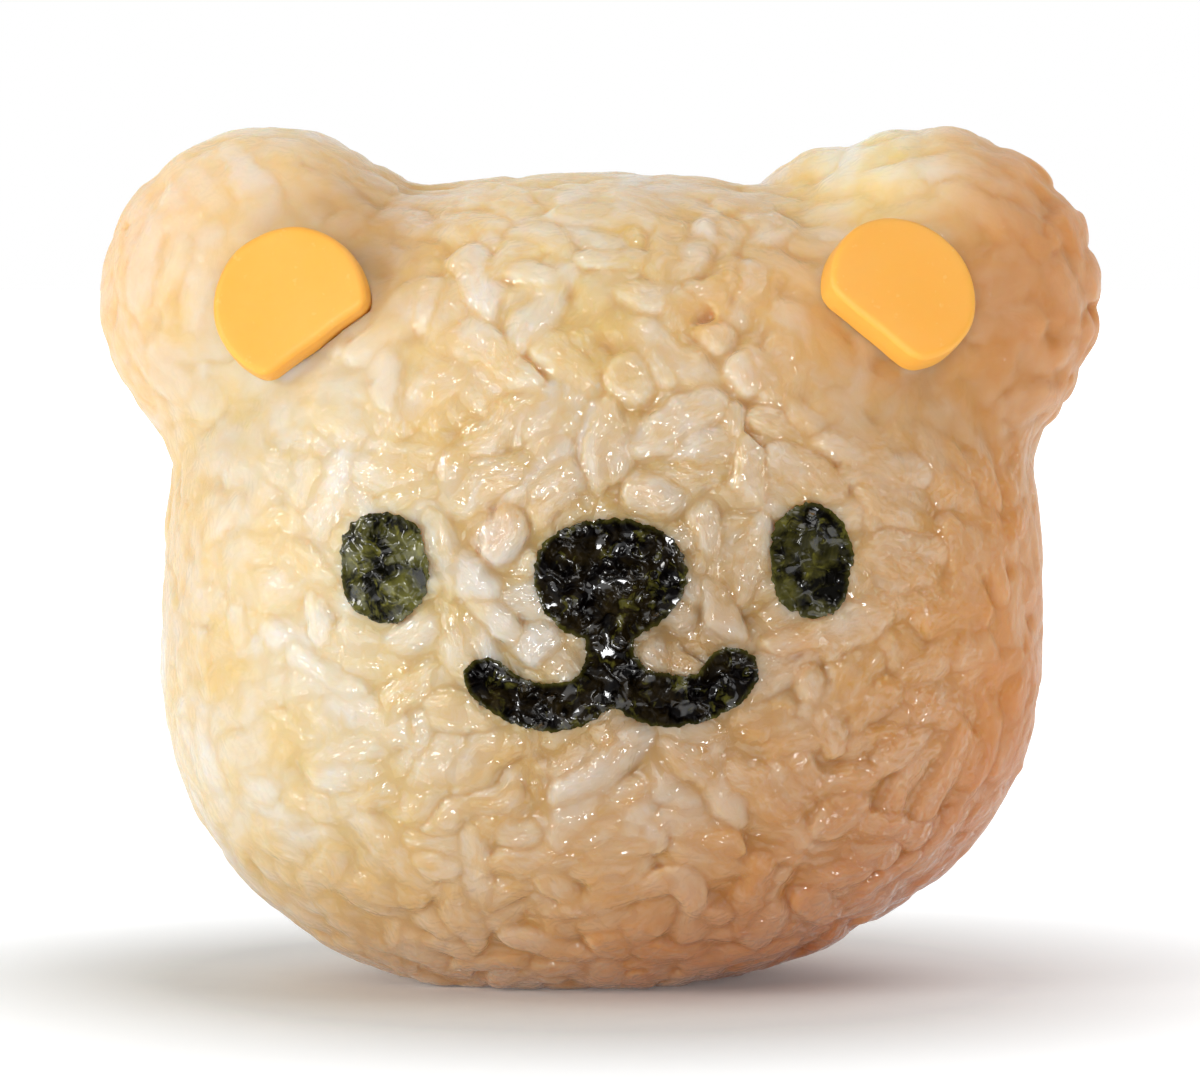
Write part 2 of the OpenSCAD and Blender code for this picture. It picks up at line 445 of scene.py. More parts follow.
def smoothness(x, z):
    """How far starch hides the grains: the left cheek and both ears are the smoothest."""
    cheek = np.clip((-x - 8) / 16, 0, 1) * 0.92
    ear = 0.0
    for c in EARS.values():
        ear = np.maximum(ear, np.clip((14.0 - np.hypot(x - c[0], z - c[2])) / 5, 0, 1))
    crown = np.clip((z - 52) / 4, 0, 1) * 0.70
    side = np.clip((x - 23) / 6, 0, 1) * 0.60
    return np.maximum(np.maximum(cheek, ear * np.where(x < 0, 1.0, 0.85)), np.maximum(crown, side)).astype(np.float32)


def rice_painted_light_and_shade(x, y, z):
    """Painted light and shade over the rice: darker and greyer beside the nose, in the valley between the left ear and
    the crown and in the small hollows, more golden below and at the far right, and paler to the upper right.
    """
    u, v = x / 30, (z - 31) / 30
    near = lambda cx, cz, s: np.exp(-((x - cx) ** 2 + (z - cz) ** 2) / (2 * s * s))
    nose = near(3.0, 26.5, 7.0) * (y < 0)
    valley_shade, ear, far = near(-16.5, 54, 3.5), near(-25, 46, 7), np.clip((x - 23) / 6, 0, 1)
    # painted shade in the small hollows between grains
    hollow_shade = 0
    for sx, sy, rad, deep in GAPS:
        g = on_form(sx, sy)[0]
        hollow_shade = hollow_shade + near(g[0], g[2], 0.9) * (y < 0)
    # painted light and shade: the terms beside the nose, in the valley and in the hollows darken, and the term at the
    # upper right lightens
    shade = (-0.06 * u - 0.11 * v - 0.14 * u * u + 0.16 * u * v - 0.22 * v * v - 0.18 * u * v * v + 0.43 * v ** 3
             - 0.48 * nose + 0.40 * near(20, 58, 5) - 0.38 * valley_shade - 0.04 * ear - 0.05 * far
             - 0.08 * near(29, 48, 6) - 0.06 * near(21, 41, 5) + 0.04 * near(0, 53, 6) - 0.05
             - 0.043 * u + 0.045 * v + 0.025 * u * u + 0.021 * v * v + 0.042 * u ** 3 - 0.020 * u * u * v
             - 0.084 * u * v * v + 0.077 * near(20, 58, 5)
             - 0.05 * near(-12, 54, 3.5) - 0.04 * near(-9, 34.5, 4) - 0.03 * near(-24, 58.5, 3.5) - 0.03 * near(30, 47, 5)
             - 0.07 * near(30.5, 26, 3.5) + 0.07 * near(24.5, 27, 3.5) + 0.02 * near(0, 49, 6) + 0.02 * near(9, 36, 5)
             - 0.10 * hollow_shade)
    painted_hue_shift = (0.03 - 0.14 * u - 0.26 * v - 0.31 * u * u + 0.30 * u * v - 0.47 * v * v - 0.25 * u * v * v + 0.50 * v ** 3
            - 0.10 * nose + 0.52 * near(20, 58, 5) - 0.32 * valley_shade + 0.38 * ear - 0.16 * far
            + 0.08 * near(0, 53, 6) - 0.08 * near(0, 8, 10)
            - 0.034 * u - 0.021 * v + 0.067 * u * v + 0.033 * u ** 3 + 0.058 * u * u * v
            - 0.129 * u * v * v + 0.078 * v ** 3 + 0.134 * near(20, 58, 5) - 0.068 * near(-30, 43, 5) + 0.012
            + 0.15 * near(0, 49, 6) + 0.07 * near(9, 36, 5) - 0.10 * near(30.5, 26, 3.5) - 0.22 * hollow_shade)
    return np.exp(np.stack([shade - 0.5 * painted_hue_shift - 0.10, shade - 0.055, shade + 0.5 * painted_hue_shift - 0.03], -1))


def slice_fields(x, y, z):
    """For each slice: distance outside its outline in its plane, and height over its back face."""
    for side, (c, ax, ay, an) in SLICES.items():
        dx, dy, dz = x - c[0], y - c[1], z - c[2]
        u = dx * ax[0] + dy * ax[1] + dz * ax[2]
        v = dx * ay[0] + dy * ay[1] + dz * ay[2]
        n = dx * an[0] + dy * an[1] + dz * an[2]
        yield np.maximum(np.sqrt(u * u + v * v) - SLICE_R, -v - SLICE_CUT[side]), n


def form_on_grid(gx, gy, gz):
    """The moulded form on the grid, as a true distance near its surface."""
    X, Y, Z = (a.astype(np.float32) for a in (gx[:, None, None], gy[None, :, None], gz[None, None, :]))
    d = head_dist_at(X, Y, Z).astype(np.float32)
    for c in EARS.values():
        ear = np.sqrt((X - np.float32(c[0])) ** 2 + (Y - np.float32(c[1])) ** 2 + (Z - np.float32(c[2])) ** 2) - np.float32(EAR_R)
        d = smin(d, ear, np.float32(3.6))
    lump = np.sqrt((X - np.float32(LUMP[0])) ** 2 + (Y - np.float32(LUMP[1])) ** 2 + (Z - np.float32(LUMP[2])) ** 2) - np.float32(LUMP_R)
    d = smin(d, lump, np.float32(1.2))
    slope = np.zeros_like(d)
    for axis in range(3):
        slope += np.gradient(d, CELL, axis=axis).astype(np.float32) ** 2
    return d / np.sqrt(np.clip(slope, 0.25, 1.6))


def press_rice(grains):
    """The union of the grains, stuck together, pressed by the mould and dented by the slices."""
    n = np.ceil((BOX_HI - BOX_LO) / CELL).astype(int) + 1
    gx, gy, gz = (BOX_LO[i] + CELL * np.arange(n[i]) for i in range(3))
    D = form_on_grid(gx, gy, gz)
    say("form on a grid of", n, "cells")
    d1 = np.full(D.shape, 9.0, np.float32)
    d2 = np.full(D.shape, 9.0, np.float32)
    d3 = np.full(D.shape, 9.0, np.float32)
    on_top = (grains.fixed > 0.5) & (grains.white >= PROUD_WHITE)
    fx, fy, fz = (a.astype(np.float32) for a in (gx, gy, gz))
    sx, sy, sz = (np.broadcast_to(a, D.shape).copy() for a in (fx[:, None, None], fy[None, :, None], fz[None, None, :]))
    for axis, scale, seed, size in STIR:
        (sx, sy, sz)[axis][...] += np.float32(size) * grid_noise(gx, gy, gz, scale, seed)
    for k in range(len(grains.c)):
        e = reach(grains, k, 1.4)
        i0 = np.clip(np.floor((grains.c[k] - e - BOX_LO) / CELL).astype(int), 0, n)
        i1 = np.clip(np.ceil((grains.c[k] + e - BOX_LO) / CELL).astype(int) + 1, 0, n)
        if (i1 <= i0).any():
            continue
        box = tuple(slice(a, b) for a, b in zip(i0, i1))
        d, _, _, _ = grain_dist(grains, k, sx[box], sy[box], sz[box])
        s1, s2 = d1[box], d2[box]
        np.minimum(s2, np.maximum(s1, d), out=s2)
        np.minimum(s1, d, out=s1)
        if on_top[k]:
            np.minimum(d3[box], d, out=d3[box])
    del sx, sy, sz
    say(len(grains.c), "grains laid in it")
    F = np.clip(D, -2, 2)
    band = np.flatnonzero((D > -2.8) & (D < 4.5))
    i, j, k = np.unravel_index(band, D.shape)
    x, y, z = fx[i], fy[j], fz[k]
    Db, a1, a2, a3 = D.ravel()[band], d1.ravel()[band], d2.ravel()[band], d3.ravel()[band]
    del d1, d2, d3
    # sticky starch joins neighbours, more in some places than in others
    noise = lambda scale, seed, waves: grid_noise(gx, gy, gz, scale, seed, waves).ravel()[band]
    film = 0.5 + 0.5 * np.clip(noise(9.0, 15, 5) + 0.4 * noise(3.5, 16, 4), -1, 1)
    smooth = smoothness(x, z)
    join = 0.34 + 0.40 * film + 0.80 * smooth
    t = smin(a1, a2, join)
    # and it fills the gaps to just under the surface
    core = Db + 0.45 - 0.20 * noise(3.0, 5, 5) - 0.34 * smooth
    t = smin(t, core, np.float32(0.55))
    for sx, sy, rad, deep in GAPS:
        g, nrm = on_form(sx, sy)
        g = g - nrm * (deep - 0.4) * 0.5
        near = np.abs(x - g[0]) + np.abs(z - g[2]) < 6
        xn, yn, zn = x[near], y[near], z[near]
        r = np.sqrt((xn - g[0]) ** 2 + (yn - g[1]) ** 2 * 0.6 + (zn - g[2]) ** 2) - rad * 0.70
        r = r + 0.40 * wave_noise(xn, yn, zn, 1.7, 19, 5)
        t[near] = smax(t[near], -r, 0.55)
    proud = 0.14 + 0.09 * noise(5.0, 18, 4) + 0.28 * outer_rim(x, z)
    t = smax(t, Db - proud, np.float32(0.40))
    # the grains that lie on top keep their own round shape
    t = smin(t, smax(a3, Db - 0.24, np.float32(0.40)), np.float32(0.30))
    # the right ear's rim is pressed into a row of soft lumps
    c = EARS["right"]
    turn = np.arctan2(z - c[2], x - c[0])
    rim = np.exp(-((y - c[1]) / 5.5) ** 2) * np.clip((np.hypot(x - c[0], z - c[2]) - 8) / 3, 0, 1) * np.clip((x - 17) / 5, 0, 1)
    t = t - 0.42 * (np.abs(np.sin(7.6 * turn + 0.5 + 0.5 * np.sin(2.3 * turn))) - 0.62) * rim
    # small unevenness of the soft surface
    t = t + 0.022 * noise(1.9, 41, 7) * (1 - 0.6 * smooth)
    for out, high in slice_fields(x, y, z):
        # rice stands behind each slice, and none comes through it
        pad = np.maximum(np.maximum(out + 0.7, high - 0.15), -high - 5.0)
        t = smin(t, pad, np.float32(1.1))
        t = smax(t, -np.maximum(out - 0.04, 0.10 - high), np.float32(0.12))
    t = smax(t, -z, np.float32(0.35))
    F.ravel()[band] = t
    F[:, :, gz < -0.4] = 2.0
    grid = openvdb.FloatGrid(2.0)
    grid.copyFromArray(F)
    co, quads = grid.convertToQuads(0.0)
    co = co.astype(np.float64) * CELL + BOX_LO
    co, quads, bubbles = largest_part(co, quads.astype(np.int64))
    say("meshed:", len(quads), "quads, without", bubbles, "bubbles")
    return co, quads


def nearest_grains(co, grains):
    """The two nearest grains' distances at each point, the nearest one and the place on it."""
    co = stirred(co)
    order = np.argsort(co[:, 0])
    P = co[order].astype(np.float32)
    m = len(P)
    d1, d2 = np.full(m, 9.0, np.float32), np.full(m, 9.0, np.float32)
    who, local = np.full(m, -1), np.zeros((m, 3), np.float32)
    for k in range(len(grains.c)):
        c, e = grains.c[k], reach(grains, k, 1.0)
        lo, hi = np.searchsorted(P[:, 0], (c[0] - e[0], c[0] + e[0]))
        sel = lo + np.flatnonzero((np.abs(P[lo:hi, 1] - c[1]) < e[1]) & (np.abs(P[lo:hi, 2] - c[2]) < e[2]))
        if len(sel) == 0:
            continue
        d, u, v, w = grain_dist(grains, k, P[sel, 0], P[sel, 1], P[sel, 2])
        old = d1[sel]
        d2[sel] = np.minimum(d2[sel], np.maximum(old, d))
        first = d < old
        d1[sel] = np.where(first, d, old)
        who[sel[first]] = k
        local[sel[first]] = np.stack([u, v, w], 1)[first]
    back = np.empty(m, int)
    back[order] = np.arange(m)
    return d1[back], d2[back], who[back], local[back]


def cube_charts(co, tris):
    """Corners' places on six square charts, one for each side that a face looks to from the middle."""
    mid = np.array([HEAD_X, HEAD_Y, 27.0])
    q = co - mid
    c = q[tris].mean(1)
    axis = np.abs(c).argmax(1)
    sign = np.take_along_axis(c, axis[:, None], 1)[:, 0] > 0
    ua, va = (axis + 1) % 3, (axis + 2) % 3
    r = np.arange(len(tris))[:, None]
    corner = q[tris]
    f = corner[r, np.arange(3)[None], axis[:, None]]
    f = np.where(np.abs(f) < 1e-6, 1e-6, f)
    u = np.arctan2(corner[r, np.arange(3)[None], ua[:, None]], np.abs(f)) * 4 / math.pi
    v = np.arctan2(corner[r, np.arange(3)[None], va[:, None]], np.abs(f)) * 4 / math.pi
    chart = axis * 2 + sign
    m = 0.035
    col, row = (chart % 3)[:, None], (chart // 3)[:, None]
    u = (col + m + (np.clip(u, -1 - m, 1 + m) + 1) / 2 * (1 - 2 * m)) / 3
    v = (row + m + (np.clip(v, -1 - m, 1 + m) + 1) / 2 * (1 - 2 * m)) / 2
    return np.stack([u, v], -1)


# ------------------------------------------------------------ mesh helpers
def make_mesh(name, co, faces, smooth=True):
    me = bpy.data.meshes.new(name)
    faces = np.asarray(faces)
    me.vertices.add(len(co))
    me.vertices.foreach_set("co", (np.asarray(co) * MM).astype(np.float32).ravel())
    k = faces.shape[1]
    me.loops.add(faces.size)
    me.loops.foreach_set("vertex_index", faces.astype(np.int32).ravel())
    me.polygons.add(len(faces))
    me.polygons.foreach_set("loop_start", np.arange(0, faces.size, k, dtype=np.int32))
    me.polygons.foreach_set("loop_total", np.full(len(faces), k, np.int32))
    me.polygons.foreach_set("use_smooth", np.full(len(faces), smooth))
    me.update(calc_edges=True)
    me.validate()
    ob = bpy.data.objects.new(name, me)
    bpy.context.scene.collection.objects.link(ob)
    return ob


def put_float(me, name, values):
    a = me.attributes.new(name, "FLOAT", "POINT")
    a.data.foreach_set("value", np.asarray(values, np.float32))


def put_vector(me, name, values):
    a = me.attributes.new(name, "FLOAT_VECTOR", "POINT")
    a.data.foreach_set("vector", np.asarray(values, np.float32).ravel())


def put_uv(me, uv):
    layer = me.uv_layers.new(name="OFBake")
    layer.uv.foreach_set("vector", np.asarray(uv, np.float32).ravel())


# --------------------------------------------------------------- materials
def new_material(name):
    m = bpy.data.materials.new(name)
    m.use_nodes = True
    nt = m.node_tree
    nt.nodes.clear()
    out = nt.nodes.new("ShaderNodeOutputMaterial")
    p = nt.nodes.new("ShaderNodeBsdfPrincipled")
    nt.links.new(p.outputs[0], out.inputs[0])
    return m, nt, p


class Nodes:
    def __init__(self, nt):
        self.nt = nt

    def new(self, kind, **sets):
        n = self.nt.nodes.new(kind)
        for k, v in sets.items():
            setattr(n, k, v)
        return n

    def link(self, a, b):
        self.nt.links.new(a, b)

    def attr(self, name, kind="Fac"):
        n = self.new("ShaderNodeAttribute", attribute_name=name)
        return n.outputs[kind]

    def math(self, op, a, b=None, clamp=False):
        n = self.new("ShaderNodeMath", operation=op, use_clamp=clamp)
        for i, v in enumerate((a, b)):
            if v is None:
                continue
            if isinstance(v, (int, float)):
                n.inputs[i].default_value = v
            else:
                self.link(v, n.inputs[i])
        return n.outputs[0]

    def ramp(self, v, lo, hi, to_lo=0.0, to_hi=1.0):
        n = self.new("ShaderNodeMapRange", clamp=True)
        self.link(v, n.inputs["Value"])
        for k, x in (("From Min", lo), ("From Max", hi), ("To Min", to_lo), ("To Max", to_hi)):
            n.inputs[k].default_value = x
        return n.outputs[0]

    def mix(self, f, a, b, mode="MIX"):
        n = self.new("ShaderNodeMix", data_type="RGBA", blend_type=mode)
        if isinstance(f, (int, float)):
            n.inputs[0].default_value = f
        else:
            self.link(f, n.inputs[0])
        for i, v in ((6, a), (7, b)):
            if isinstance(v, tuple):
                n.inputs[i].default_value = (*v, 1)
            else:
                self.link(v, n.inputs[i])
        return n.outputs[2]

    def noise(self, vec, scale, detail=3.0, rough=0.5, distortion=0.0, out="Fac", dims="3D"):
        n = self.new("ShaderNodeTexNoise", noise_dimensions=dims)
        if vec is not None:
            self.link(vec, n.inputs["Vector"])
        n.inputs["Scale"].default_value = scale
        n.inputs["Detail"].default_value = detail
        n.inputs["Roughness"].default_value = rough
        n.inputs["Distortion"].default_value = distortion
        return n.outputs[out]

    def scaled(self, vec, xyz):
        n = self.new("ShaderNodeVectorMath", operation="MULTIPLY")
        self.link(vec, n.inputs[0])
        n.inputs[1].default_value = xyz
        return n.outputs[0]

    def bump(self, height, strength, dist, normal=None):
        n = self.new("ShaderNodeBump")
        n.inputs["Strength"].default_value = strength
        n.inputs["Distance"].default_value = dist
        self.link(height, n.inputs["Height"])
        if normal is not None:
            self.link(normal, n.inputs["Normal"])
        return n.outputs[0]

    def place(self):
        return self.new("ShaderNodeTexCoord").outputs["Object"]


def srgb(r, g, b):
    f = lambda c: c / 12.92 if c <= 0.04045 else ((c + 0.055) / 1.055) ** 2.4
    return tuple(f(c / 255) for c in (r, g, b))


def rice_material():
    m, nt, p = new_material("cooked_rice")
    n = Nodes(nt)
    white, tone, painted_crease_shade, gap, painted_shade_amber, starch, wet = (
        n.attr(k) for k in ("white", "tone", "painted_crease_shade", "gap", "painted_shade_amber", "starch", "wet"))
    grain, painted_light_tint = n.attr("grain", "Vector"), n.attr("painted_light_tint", "Vector")
    place = n.place()
    # painted shade: the base runs from 0, pale, on the lit left and top, to 1, amber, on the shaded right and bottom
    body = n.mix(painted_shade_amber, srgb(236, 210, 170), srgb(204, 152, 82))
    body = n.mix(n.math("MULTIPLY", tone, 0.8), body, n.mix(painted_shade_amber, srgb(236, 206, 148), srgb(204, 146, 62)))
    pale_to = n.mix(painted_shade_amber, srgb(240, 232, 226), srgb(214, 190, 160))
    # painted shade: only grains lying near the mould's surface are painted pale
    top = n.ramp(gap, 0.50, 0.05)
    pale = n.mix(n.math("MULTIPLY", n.math("MULTIPLY", white, top), 1.0), body, pale_to)
    patch = n.ramp(n.noise(place, 190, 3.0, 0.55), 0.42, 0.64)
    amber = n.mix(painted_shade_amber, srgb(241, 200, 114), srgb(202, 140, 48))
    pale = n.mix(n.math("MULTIPLY", patch, 0.58), pale, amber)
    # each grain is cloudy along its core and clearer at its ends
    streak = n.ramp(n.noise(n.scaled(grain, (0.50, 1.1, 1.1)), 1.1, 3.0, 0.55, 0.5), 0.44, 0.66)
    pale = n.mix(n.math("MULTIPLY", n.math("MULTIPLY", streak, wet), 0.42), pale, pale_to)
    # painted warm shade in the creases and over the starch between grains
    warm = n.mix(n.math("MULTIPLY", n.math("POWER", painted_crease_shade, 1.3), 0.45), pale, amber)
    warm = n.mix(n.math("MULTIPLY", starch, 0.40), warm, amber)
    # painted shade: the deeper the surface lies under the mould, the darker and more amber
    deep = n.ramp(gap, 0.35, 1.1)
    painted_deep_shade = n.mix(painted_shade_amber, srgb(238, 170, 84), srgb(184, 114, 42))
    colour = n.mix(n.math("MULTIPLY", deep, 0.80), warm, painted_deep_shade)
    # painted light and shade over the whole rice mass
    n.link(n.mix(1.0, colour, painted_light_tint, "MULTIPLY"), p.inputs["Base Color"])
    damp = n.math("MULTIPLY", n.ramp(n.noise(place, 150, 3.0, 0.6), 0.34, 0.52, 0.45, 1.0), wet, clamp=True)
    rough = n.ramp(n.math("ADD", n.math("MULTIPLY", damp, 0.6), n.math("MULTIPLY", n.noise(place, 380, 3.0), 0.4)), 0.1, 0.8, 0.50, 0.30)
    n.link(rough, p.inputs["Roughness"])
    fine = n.noise(n.scaled(grain, (0.6, 1.6, 1.6)), 1.7, 3.0, 0.6, 0.6)
    h = n.math("ADD", n.math("MULTIPLY", fine, 0.6), n.math("MULTIPLY", n.noise(place, 850, 2.5, 0.6, 0.5), 0.5))
    n.link(n.bump(n.math("MULTIPLY", h, n.ramp(wet, 0.2, 1.0, 0.35, 1.0)), 0.60, 0.00013), p.inputs["Normal"])
    # the wet film on top is uneven, and glints
    film = n.math("ADD", n.noise(place, 600, 1.0, 0.5, 1.6), n.math("MULTIPLY", n.noise(n.scaled(grain, (0.5, 1.4, 1.4)), 1.0, 1.0), 0.5))
    n.link(n.bump(film, 1.0, 0.00075), p.inputs["Coat Normal"])
    n.link(n.ramp(damp, 0.0, 0.8, 0.08, 1.0), p.inputs["Coat Weight"])
    p.inputs["Subsurface Weight"].default_value = 1.0
    p.inputs["Subsurface Radius"].default_value = (1.0, 0.66, 0.40)
    p.inputs["Subsurface Scale"].default_value = 0.0032
    p.inputs["Coat Roughness"].default_value = 0.05
    p.inputs["Coat IOR"].default_value = 1.65
    p.inputs["IOR"].default_value = 1.38
    return m


def cheese_material():
    m, nt, p = new_material("cheese_slice")
    n = Nodes(nt)
    place = n.place()
    cloud = n.ramp(n.noise(place, 160, 4.0, 0.6), 0.3, 0.7)
    colour = n.mix(n.math("MULTIPLY", cloud, 0.5), srgb(250, 177, 70), srgb(248, 185, 89))
    fleck = n.ramp(n.noise(place, 1500, 2.0, 0.5), 0.66, 0.74)
    colour = n.mix(n.math("MULTIPLY", fleck, 0.25), colour, srgb(255, 212, 130))
    n.link(colour, p.inputs["Base Color"])
    n.link(n.ramp(n.noise(place, 500, 3.0, 0.6), 0.3, 0.7, 0.40, 0.56), p.inputs["Roughness"])
    h = n.math("ADD", n.noise(place, 260, 3.0, 0.5), n.math("MULTIPLY", n.noise(place, 1800, 2.0, 0.5), 0.25))
    n.link(n.bump(h, 0.25, 0.00012), p.inputs["Normal"])
    p.inputs["Subsurface Weight"].default_value = 0.35
    p.inputs["Subsurface Radius"].default_value = (1.0, 0.6, 0.25)
    p.inputs["Subsurface Scale"].default_value = 0.0015
    p.inputs["IOR"].default_value = 1.42
    return m


def nori_material(name, satin_film):
    m, nt, p = new_material(name)
    n = Nodes(nt)
    place = n.place()
    cloud = n.ramp(n.noise(place, 420, 4.0, 0.65, 0.6), 0.44, 0.66)
    olive_and_sheen = n.attr("olive_and_sheen")
    # partly olive colour, partly painted satin sheen: the higher the value, the lighter the pale patches, most on the
    # left eye
    colour = n.mix(cloud, n.mix(olive_and_sheen, srgb(3, 1, 1), srgb(10, 9, 3)), n.mix(olive_and_sheen, srgb(34, 26, 9), srgb(100, 98, 44)))
    thin = n.ramp(n.noise(place, 800, 3.0, 0.6, 0.8), 0.58, 0.70)
    colour = n.mix(n.math("MULTIPLY", thin, n.math("ADD", n.math("MULTIPLY", olive_and_sheen, 0.4), 0.35)), colour, srgb(120, 116, 46))
    edge = n.math("MULTIPLY", n.attr("rim"), n.ramp(n.noise(place, 600, 2.0), 0.35, 0.6, 0.35, 1.0))
    colour = n.mix(n.math("MULTIPLY", edge, 0.65), colour, srgb(78, 74, 24))
    n.link(colour, p.inputs["Base Color"])
    p.inputs["Roughness"].default_value = 0.35
    p.inputs["IOR"].default_value = 1.12
    # a glossy skin in streaks, more satin on the eyes
    skin = n.ramp(n.noise(place, 620, 2.0, 0.55, 1.2), 0.51, 0.59)
    satin = n.ramp(n.noise(place, 420, 2.0, 0.5), 0.44, 0.56, 0.08, 1.0)
    n.link(n.math("ADD", skin, n.math("MULTIPLY", n.math("POWER", olive_and_sheen, 3.0), satin), clamp=True), p.inputs["Coat Weight"])
    p.inputs["Coat Roughness"].default_value = satin_film
    p.inputs["Coat IOR"].default_value = 1.65
    h = n.math("ADD", n.noise(place, 900, 2.0, 0.6, 0.8), n.math("MULTIPLY", n.noise(place, 3000, 2.0, 0.6), 0.15))
    n.link(n.bump(h, 0.7, 0.00004), p.inputs["Normal"])
    n.link(n.bump(h, 0.7, 0.00004), p.inputs["Coat Normal"])
    return m


# ---------------------------------------------------------------- the rice
RICE = rice_material()
CHEESE = cheese_material()
NORI = {"nori_eye_left": nori_material("seaweed_satin", 0.155), "nori_eye_right": nori_material("seaweed_sheen", 0.10),
        "nori_nose_and_mouth": nori_material("seaweed_gloss", 0.055)}


def thin_out(ob, faces):
    """Collapses flat areas until the mesh has about this many triangles."""
    me = ob.data
    me.calc_loop_triangles()
    now = len(me.loop_triangles)
    mod = ob.modifiers.new("thin", "DECIMATE")
    mod.ratio = min(1.0, faces / now)
    tri = ob.modifiers.new("triangles", "TRIANGULATE")
    dg = bpy.context.evaluated_depsgraph_get()
    new = bpy.data.meshes.new_from_object(ob.evaluated_get(dg), depsgraph=dg)
    ob.modifiers.clear()
    old, name = ob.data, ob.data.name
    ob.data = new
    bpy.data.meshes.remove(old)
    new.name = name
    new.polygons.foreach_set("use_smooth", np.ones(len(new.polygons), bool))
    say(ob.name, now, "->", len(new.polygons), "triangles")


def build_rice():
    """The whole pressed mass: head and ears run into each other as the real rice does."""
    everywhere = lambda p: p[:, 2] > -0.2
    form = lambda p: np.maximum(mould_dist(p), -p[..., 2])
    top = settle(lay_grains(11, 1040, SEEN, everywhere, form, spread=0.72), 21)
    say("top grains spread")
    low = lay_grains(12, 620, [], everywhere, form, spread=0.66, rounds=24)
    low = settle(low, 22, deep=1.1, tilt=25, ends=0.0)
    say("deeper grains spread")
    grains = Grains()
    for field in vars(top):
        setattr(grains, field, np.concatenate([getattr(top, field), getattr(low, field)]))
    co, quads = press_rice(grains)
    ob = make_mesh("pressed_rice_grains", co, quads)
    thin_out(ob, 198000)
    me = ob.data
    co = np.empty(len(me.vertices) * 3, np.float32)
    me.vertices.foreach_get("co", co)
    co = co.reshape(-1, 3).astype(float) / MM
    tris = np.empty(len(me.polygons) * 3, np.int32)
    me.polygons.foreach_get("vertices", tris)
    tris = tris.reshape(-1, 3)
    d1, d2, who, local = nearest_grains(co, grains)
    rng = np.random.default_rng(3)
    tone = rng.random(len(grains.c))
    shift = rng.uniform(-40, 40, (len(grains.c), 3))
    ok = np.maximum(who, 0)
    deep = np.clip(-mould_dist(co), 0, 2.5)
    put_uv(me, cube_charts(co, tris).reshape(-1, 2))
    plain = smoothness(co[:, 0], co[:, 2])
    put_float(me, "white", np.where(who >= 0, grains.white[ok], 0.2) * (1 - 0.45 * plain) + 0.16 * plain)
    put_float(me, "tone", 0.5 + (np.where(who >= 0, tone[ok], 0.5) - 0.5) * (1 - 0.7 * plain))
    # how far starch rather than a grain makes the surface, and how near the next grain is: both mark where warm shade
    # is painted between the grains
    put_float(me, "starch", np.clip(d1 / 0.4, 0, 1) * (1 - 0.4 * plain))
    put_float(me, "painted_crease_shade", np.clip(1 - (d2 - d1) / 0.7, 0, 1) * (1 - 0.6 * plain))
    put_float(me, "gap", deep)
    # painted shade: more amber towards the shaded right and bottom, with a little random variation
    painted_shade_amber = 0.36 + 0.013 * co[:, 0] + 0.0105 * (34 - co[:, 2]) + 0.08 * np.clip((co[:, 0] - 18) / 10, 0, 1)
    put_float(me, "painted_shade_amber", np.clip(painted_shade_amber + 0.07 * smooth_noise(co, 20, 17), 0, 1))
    put_vector(me, "grain", local + shift[ok])
    # the brow is drier than the muzzle, and the far side drier still
    dry = (1 - 0.65 * np.clip((co[:, 0] - 21) / 7, 0, 1)) * (1 - 0.35 * np.clip((co[:, 2] - 38) / 6, 0, 1))
    put_float(me, "wet", (1 - 0.8 * plain) * dry)
    # painted light and shade, darker or paler by place over the rice
    put_vector(me, "painted_light_tint", rice_painted_light_and_shade(*co.T))
    me.materials.append(RICE)
    say("rice made")
    return ob


rice = build_rice()
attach(rice, "root")
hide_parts("rice_head", "rice_ear_left", "rice_ear_right")


